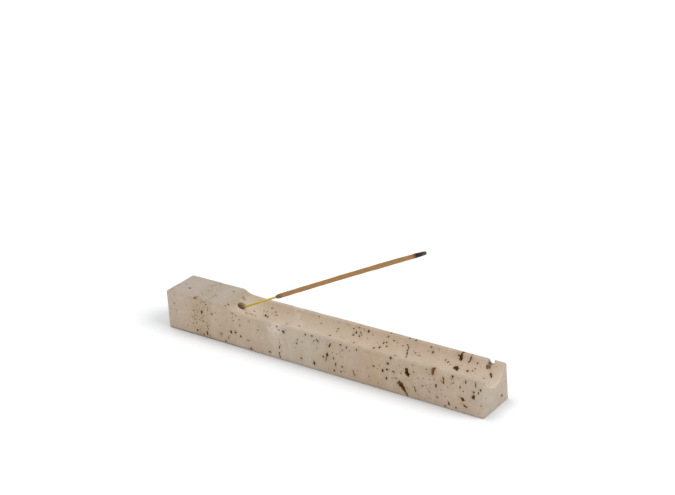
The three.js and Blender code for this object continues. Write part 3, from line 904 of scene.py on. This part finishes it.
class Shader:
    """A material's node tree, built by short calls. An input is a number, a colour or another
    node's output."""

    def __init__(self, name):
        self.material = bpy.data.materials.new(name)
        self.material.use_nodes = True
        self.tree = self.material.node_tree
        self.tree.nodes.clear()
        self.output = self.tree.nodes.new("ShaderNodeOutputMaterial")
        self.principled = self.tree.nodes.new("ShaderNodeBsdfPrincipled")
        self.tree.links.new(self.principled.outputs[0], self.output.inputs["Surface"])

    def wire(self, target, value):
        if isinstance(value, bpy.types.NodeSocket):
            self.tree.links.new(value, target)
        else:
            target.default_value = value

    def node(self, kind, inputs=None, **settings):
        made = self.tree.nodes.new("ShaderNode" + kind)
        for key, value in settings.items():
            setattr(made, key, value)
        for key, value in (inputs or {}).items():
            self.wire(made.inputs[key], value)
        return made

    def math(self, operation, a, b=0.0):
        return self.node("Math", {0: a, 1: b}, operation=operation).outputs[0]

    def times(self, a, b):
        return self.math("MULTIPLY", a, b)

    def vector(self, operation, a, b):
        return self.node("VectorMath", {0: a, 1: b}, operation=operation).outputs[0]

    def noise(self, vector, scale, detail=4.0, roughness=0.55, colour=False):
        inputs = {"Vector": vector, "Scale": scale, "Detail": detail, "Roughness": roughness}
        made = self.node("TexNoise", inputs)
        return made.outputs["Color" if colour else "Fac"]

    def step(self, value, low, high, to_low=0.0, to_high=1.0):
        """A smooth step from to_low to to_high as value goes from low to high."""
        inputs = {"Value": value, "From Min": low, "From Max": high, "To Min": to_low, "To Max": to_high}
        return self.node("MapRange", inputs, interpolation_type="SMOOTHSTEP").outputs["Result"]

    def mix(self, factor, a, b, blend="MIX"):
        inputs = {"Factor": factor, "A": a, "B": b}
        made = self.node("Mix", inputs, data_type="RGBA", blend_type=blend, clamp_factor=True)
        return made.outputs["Result"]

    def tint(self, colour, pattern, low, high, most, tone):
        """The colour, turned up to that much towards an sRGB tone as the pattern nears high."""
        return self.mix(self.step(pattern, low, high, 0, most), colour, linear(*tone))

    def places(self):
        """Places on the piece in millimetres."""
        inputs = {0: self.node("TexCoord").outputs["Object"], "Scale": 1 / MM}
        return self.node("VectorMath", inputs, operation="SCALE").outputs[0]

    def wander(self, vector, scale, detail, reach):
        """A smooth random shift, of up to half that reach either way."""
        field = self.noise(vector, scale, detail, colour=True)
        return self.vector("MULTIPLY", self.vector("SUBTRACT", field, (0.5, 0.5, 0.5)), reach)

    def attribute(self, name):
        return self.node("Attribute", attribute_name=name).outputs["Fac"]

    def set(self, **inputs):
        for key, value in inputs.items():
            self.wire(self.principled.inputs[key.replace("_", " ")], value)

    def bump(self, height, distance, strength=1.0, under=None):
        inputs = {"Height": height, "Distance": distance, "Strength": strength}
        if under is not None:
            inputs["Normal"] = under
        return self.node("Bump", inputs).outputs["Normal"]


def linear(*srgb):
    """An sRGB colour in 0 to 255 as a linear RGBA. None here has a channel below 11."""
    return (*(((value / 255 + 0.055) / 1.055) ** 2.4 for value in srgb), 1.0)


# The stone's beds, in sRGB, and where each one lies along the bar
GREY_BED = (172, 157, 140)
SAND_BED = (175, 155, 136)
ROSE_BED = (179, 158, 138)
OLIVE_BED = (169, 146, 117)
BROWN_BED = (171, 152, 128)
PALE_BED = (178, 164, 147)
BEDS = (
    (-125, GREY_BED), (-106, SAND_BED), (-98, OLIVE_BED), (-88, BROWN_BED), (-84, ROSE_BED),
    (-74, BROWN_BED), (-60, ROSE_BED), (-44, SAND_BED), (-30, PALE_BED), (-6, PALE_BED),
    (6, GREY_BED), (16, BROWN_BED),
    (28, SAND_BED), (50, OLIVE_BED), (58, SAND_BED), (71, BROWN_BED), (88, SAND_BED), (104, ROSE_BED),
    (114, SAND_BED), (121, PALE_BED),
)
# Painted light: how far the groove, the rim tops and the deep socket are lightened in colour
PAINTED_LIGHT_SHARE = 0.42
# Painted sheen: how far the head's top is greyed, as a painted reflection of the white sky
TOP_SHEEN_SHARE = 0.25
STONE_TONE = (1.075, 1.06, 1.04, 1)


def bed_colour(s, along):
    share = s.node("MapRange", {"Value": along, "From Min": LEFT, "From Max": RIGHT}).outputs["Result"]
    beds = s.node("ValToRGB", {"Fac": share})
    ramp = beds.color_ramp
    for number, (x, colour) in enumerate(BEDS):
        position = (x - LEFT) / (RIGHT - LEFT)
        stop = ramp.elements[number] if number < 2 else ramp.elements.new(position)
        stop.position = position
        stop.color = linear(*colour)
    return beds.outputs["Color"]


def vein_share(s, place, along):
    """A pale crystalline vein that curves through the bar."""
    curve = s.times(s.math("SUBTRACT", s.noise(place, 0.06, 2), 0.5), 16)
    offset = s.math("ABSOLUTE", s.math("ADD", s.math("ADD", along, 30), curve))
    vein = s.step(offset, 4.5, 1.2)
    vein = s.times(vein, s.step(s.noise(place, 0.35, 5, 0.65), 0.4, 0.6, 0.3, 0.9))
    height = s.node("SeparateXYZ", {0: place}).outputs[2]
    return s.times(vein, s.step(height, 13, 21, 0.15, 1))


def speck_share(s, place, along):
    """Filled pores, dense in one olive bed and sparse elsewhere."""
    open_bed = s.times(s.step(along, -106, -101), s.step(along, -85, -89))
    bent = s.vector("ADD", place, s.wander(place, 0.8, 2, (1.2, 1.2, 1.2)))
    stretched = s.vector("MULTIPLY", bent, (1.25, 0.85, 0.85))
    cells = s.node("TexVoronoi", {"Vector": stretched, "Scale": 0.95})
    lot = s.node("SeparateColor", {"Color": cells.outputs["Color"]}).outputs[0]
    limit = s.math("ADD", 0.86, s.times(open_bed, -0.36))
    chosen = s.math("GREATER_THAN", lot, limit)
    return s.times(s.step(cells.outputs["Distance"], 0.34, 0.16), chosen)


def void_colour(s, colour, depth):
    """Brown mineral lining inside a void, with painted shade: the colour darkens with the void's darkness and
    as it gets deeper.
    """
    rust = s.attribute("void_rust")
    crust = s.mix(rust, linear(124, 100, 72), linear(190, 128, 72))
    deep = s.mix(rust, linear(117, 84, 48), linear(172, 106, 52))
    inner = s.mix(s.step(depth, 0.25, 1.1), crust, deep)
    inside = s.times(s.step(depth, 0.02, 0.35), s.attribute("void_dark"))
    return s.mix(inside, colour, inner)


def travertine():
    s = Shader("travertine")
    place = s.places()

    # beds: upright layers across the bar, wandering a little
    drifted = s.vector("ADD", place, s.wander(place, 0.045, 3, (16, 8, 8)))
    warped = s.vector("ADD", drifted, s.wander(place, 0.22, 4, (4, 3, 3)))
    along = s.node("SeparateXYZ", {0: warped}).outputs[0]
    colour = bed_colour(s, along)

    # fine lamination along the beds, clouds, warm and olive patches, and grain
    streaks = s.noise(s.vector("MULTIPLY", warped, (0.9, 0.1, 0.1)), 1.0, 6, 0.62)
    clouds = s.noise(warped, 0.11, 5, 0.6)
    warm = s.noise(place, 0.16, 4, 0.6)
    olive = s.noise(s.vector("ADD", place, (40, 0, 0)), 0.1, 4, 0.6)
    grain = s.noise(place, 1.5, 5, 0.7)
    for pattern, low, high, most, tone in (
        (streaks, 0.52, 0.72, 0.4, (160, 142, 120)),
        (streaks, 0.48, 0.3, 0.45, (196, 181, 165)),
        (clouds, 0.5, 0.7, 0.35, (165, 150, 132)),
        (clouds, 0.5, 0.3, 0.35, (194, 177, 160)),
        (warm, 0.52, 0.68, 0.5, (188, 158, 136)),
        (olive, 0.52, 0.7, 0.5, (166, 150, 116)),
        (grain, 0.55, 0.75, 0.35, (150, 132, 110)),
        (grain, 0.45, 0.25, 0.3, (205, 192, 176)),
    ):
        colour = s.tint(colour, pattern, low, high, most, tone)

    # specks; painted light on the groove, the rim tops and the deep socket; a painted sky reflection that
    # greys the head's top; the vein; and the stained lips of the voids
    specks = speck_share(s, place, along)
    for share, most, tone in (
        (specks, 0.6, (112, 92, 66)),
        # painted light on the groove, the rim tops and the deep socket
        (s.attribute("painted_light"), PAINTED_LIGHT_SHARE, (232, 212, 188)),
        # painted reflection of the sky, greying the head's top
        (s.attribute("top_sheen"), TOP_SHEEN_SHARE, (168, 166, 164)),
        (vein_share(s, place, along), 0.75, (216, 203, 188)),
        (s.attribute("halo"), 0.3, (150, 122, 90)),
        (s.attribute("stain"), 0.4, (158, 124, 72)),
    ):
        colour = s.mix(s.times(share, most), colour, linear(*tone))
    depth = s.attribute("void_depth")
    colour = void_colour(s, colour, depth)
    colour = s.mix(1.0, colour, STONE_TONE, "MULTIPLY")

    # surface: honed, a little uneven, pitted at the specks, crumbly in the voids
    rough = s.step(grain, 0.3, 0.7, 0.4, 0.55)
    fine = s.noise(place, 4.5, 3, 0.6)
    height = s.math("SUBTRACT", s.times(fine, 0.4), specks)
    crumbs = s.times(s.noise(place, 3.0, 5, 0.7), s.step(depth, 0.0, 0.3))
    normal = s.bump(height, 0.00006, 0.6)
    normal = s.bump(crumbs, 0.0004, 0.7, under=normal)
    s.set(Base_Color=colour, Roughness=rough, Normal=normal, IOR=1.5, Specular_IOR_Level=0.6)
    return s.material


def stick_place(s, stretch):
    """Texture places on the stick from its own point attributes, stretched along it."""
    along = s.times(s.attribute("along"), stretch)
    return s.node("CombineXYZ", {0: along, 1: s.attribute("around")}).outputs[0]


def bamboo():
    s = Shader("dyed_bamboo")
    fibre = s.noise(stick_place(s, 0.06), 3.2, 5, 0.6)
    blotch = s.noise(stick_place(s, 0.5), 0.4, 3)
    colour = s.mix(s.step(fibre, 0.35, 0.65), linear(222, 202, 56), linear(182, 160, 40))
    colour = s.tint(colour, blotch, 0.5, 0.75, 0.5, (196, 182, 92))

    # painted shade, darker brown, where it stands in the socket, fading out above its mouth
    clean, socket_shaded = STICK_INSERTION + 1.2, STICK_INSERTION - 0.6
    colour = s.tint(colour, s.attribute("along"), clean, socket_shaded, 0.9, (112, 92, 74))
    normal = s.bump(fibre, 0.00008, 0.8)
    s.set(Base_Color=colour, Roughness=0.5, Normal=normal, Specular_IOR_Level=0.4)
    return s.material


def incense_paste():
    s = Shader("incense_paste")
    place = s.places()
    blotch = s.noise(place, 0.36, 4)
    grain = s.noise(place, 2.4, 5, 0.7)
    drag = s.noise(stick_place(s, 0.16), 1.6, 5, 0.65)
    colour = s.mix(s.step(blotch, 0.4, 0.6), linear(180, 128, 84), linear(162, 128, 78))
    colour = s.tint(colour, drag, 0.5, 0.75, 0.55, (134, 94, 62))
    colour = s.tint(colour, grain, 0.52, 0.72, 0.6, (112, 78, 52))
    colour = s.tint(colour, grain, 0.46, 0.28, 0.55, (206, 164, 116))

    # darker where the paste starts, and scorched where it has burnt
    along = s.attribute("along")
    colour = s.tint(colour, along, BARE_LENGTH + 9, BARE_LENGTH + 2, 0.75, (112, 80, 64))
    colour = s.tint(colour, along, TIP_START - 3.5, TIP_START - 0.3, 0.75, (84, 58, 42))
    normal = s.bump(s.math("ADD", grain, s.times(drag, 0.6)), 0.00018, 0.9)
    s.set(Base_Color=colour, Roughness=0.93, Normal=normal, Specular_IOR_Level=0.2)
    return s.material


def char():
    s = Shader("charred_paste")
    place = s.places()
    crumbs = s.noise(place, 2.6, 5, 0.7)
    ash = s.noise(place, 1.1, 4, 0.6)
    colour = s.mix(s.step(crumbs, 0.35, 0.65), linear(72, 58, 50), linear(36, 27, 23))
    along = s.attribute("along")
    toward_end = s.step(along, TIP_START + 1, TIP_START + TIP_LENGTH, 0.0, 0.7)
    colour = s.mix(s.times(s.step(ash, 0.42, 0.62), toward_end), colour, linear(124, 118, 112))
    ember = s.step(along, TIP_START + 1.2, TIP_START, 0, 0.6)
    colour = s.mix(s.times(ember, s.step(ash, 0.35, 0.6)), colour, linear(74, 38, 18))
    normal = s.bump(crumbs, 0.0003, 0.9)
    s.set(Base_Color=colour, Roughness=0.95, Normal=normal, Specular_IOR_Level=0.15)
    return s.material


# --- floor and light

# The sky is full white to the camera, and this strong as a light
SKY_LIGHT = 0.84
KEY_PLACE = Vector((0.33, 0.26, 0.91))

# Lamps for the floor alone, which give it the bar's shadow: place and strength
WASHES = ((Vector((0.75, 0.13, 0.64)), 3.4), (Vector((-0.34, 0, 0.94)), 2.33))
SUN_BREADTH = math.radians(35)
KEY_STRENGTH = 0.62
KEY_COLOUR = (0.8, 0.92, 1.0)
FLOOR_GREY = 0.455
FLOOR_SIZE = 8
FLOOR_GAP = 0.00005


def plain_floor():
    bpy.ops.mesh.primitive_plane_add(size=FLOOR_SIZE, location=(0, 0, -FLOOR_GAP))
    floor = bpy.context.object
    floor.name = "floor"
    s = Shader("pale_floor")
    s.set(Base_Color=(FLOOR_GREY, FLOOR_GREY, FLOOR_GREY, 1), Roughness=0.9, Specular_IOR_Level=0.1)
    floor.data.materials.append(s.material)
    return floor


def soft_sun(name, place, strength, colour=(1, 1, 1), only=None):
    """A broad, far lamp. It can be kept to one object."""
    data = bpy.data.lights.new(name, "SUN")
    data.energy = strength
    data.angle = SUN_BREADTH
    data.color = colour
    lamp = bpy.data.objects.new(name, data)
    bpy.context.scene.collection.objects.link(lamp)
    lamp.rotation_euler = (-place).to_track_quat("-Z", "Y").to_euler()
    if only is not None:
        lit = bpy.data.collections.new(name + "_lit")
        lit.objects.link(only)
        lamp.light_linking.receiver_collection = lit


def studio(floor):
    scene = bpy.context.scene
    scene.view_settings.view_transform = "Standard"
    scene.view_settings.look = "None"
    world = bpy.data.worlds.new("studio")
    world.use_nodes = True
    tree = world.node_tree
    lit = tree.nodes["Background"]
    lit.inputs["Color"].default_value = (1, 1, 1, 1)
    ray = tree.nodes.new("ShaderNodeLightPath")
    strength = tree.nodes.new("ShaderNodeMath")
    strength.operation = "MAXIMUM"
    strength.inputs[1].default_value = SKY_LIGHT
    tree.links.new(ray.outputs["Is Camera Ray"], strength.inputs[0])
    tree.links.new(strength.outputs[0], lit.inputs["Strength"])
    scene.world = world
    soft_sun("key", KEY_PLACE, KEY_STRENGTH, KEY_COLOUR)
    for place, strength in WASHES:
        soft_sun("floor_wash", place, strength, only=floor)


def main():
    add_camera()
    for build, node, slot, material, body in (
        (build_bar, "stone_body", "travertine", travertine, "stone"),
        (build_core, "bamboo_core", "dyed_bamboo", bamboo, "stick"),
        (build_coat, "incense_coat", "incense_paste", incense_paste, "stick"),
        (build_tip, "charred_tip", "charred_paste", char, "stick"),
    ):
        piece = build()
        piece.data.materials.clear()
        piece.data.materials.append(material())
        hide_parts(node)
        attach(piece, body)
    studio(plain_floor())


main()
